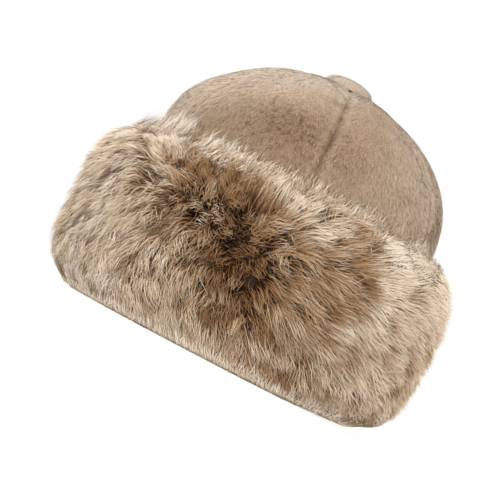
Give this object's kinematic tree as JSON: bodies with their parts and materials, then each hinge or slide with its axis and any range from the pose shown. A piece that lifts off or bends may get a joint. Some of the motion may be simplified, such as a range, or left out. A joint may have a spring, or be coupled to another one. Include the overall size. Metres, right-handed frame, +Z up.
{
  "type": "fur-cuffed hat",
  "caption": "Pull-on winter hat with a domed crown of sewn plush gores, a covered button on top and a deep cuff of long faux fur.",
  "frame": {"origin": "centre of the hat's footprint, on the surface that its rim rests on", "axes": "+Z up through the button, -Y to the front of the hat, +X to the right as seen from the front"},
  "size_m": [0.248, 0.2698, 0.198],
  "materials": {
    "crown_plush": "dense short-pile plush, beige with darker roots",
    "button_plush": "dense short-pile plush, beige",
    "cuff_fur": "long faux fur, dark brown roots and pale beige tips"
  },
  "bodies": {
    "root": {"crown_gore_1": "crown_plush", "crown_gore_2": "crown_plush", "crown_gore_3": "crown_plush", "crown_gore_4": "crown_plush", "crown_gore_5": "crown_plush", "crown_gore_6": "crown_plush", "crown_button": "button_plush", "fur_cuff": "cuff_fur"}
  },
  "joints": []
}
